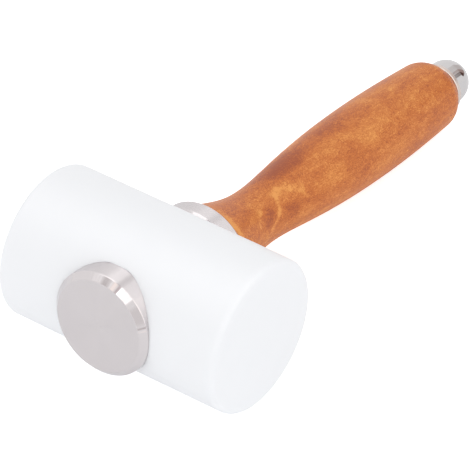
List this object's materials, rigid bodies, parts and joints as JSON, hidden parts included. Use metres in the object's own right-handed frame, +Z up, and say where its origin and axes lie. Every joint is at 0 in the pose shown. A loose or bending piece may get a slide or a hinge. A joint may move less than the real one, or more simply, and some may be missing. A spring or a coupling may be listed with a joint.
{
  "type": "leather carving mallet",
  "caption": "Small mallet for leather carving tools: round nylon head across a turned wooden handle, clamped by a steel rod between a front cap and a dome nut.",
  "frame": {"origin": "on the surface that the mallet lies on, under the middle of its bounding box", "axes": "+X along the head from one striking face to the other, +Y from the head towards the butt of the handle, +Z up; the handle dips about 5.1 degrees towards the butt, as the mallet lies on its head and on the shoulder of its handle"},
  "size_m": [0.081, 0.1956, 0.05],
  "materials": {
    "nylon": "satin white, slightly translucent, turned from bar",
    "turned_steel": "fine turned stainless steel",
    "lacquered_wood": "red-brown stain under satin lacquer",
    "zinc_plated_steel": "bright zinc plate",
    "chromed_steel": "polished chrome plate"
  },
  "bodies": {
    "mallet": {"head": "nylon", "front_cap": "turned_steel", "rear_collar": "turned_steel", "handle": "lacquered_wood", "tie_rod": "zinc_plated_steel"},
    "washer": {"butt_washer": "zinc_plated_steel"},
    "nut": {"dome_nut": "chromed_steel"}
  },
  "joints": [
    {"name": "washer_travel", "type": "slide", "parent": "mallet", "child": "washer", "axis": [0, 0.996, -0.0889], "range_m": [0, 0.0075]},
    {"name": "nut_turn", "type": "hinge", "parent": "washer", "child": "nut", "pos_m": [0, 0.08668, 0.01109], "axis": [0, 0.996, -0.0889], "range_deg": [0, 2160]}
  ],
  "couplings": [
    {"joint": "washer_travel", "follows": "nut_turn", "m_per_rad": 0.00019894}
  ]
}
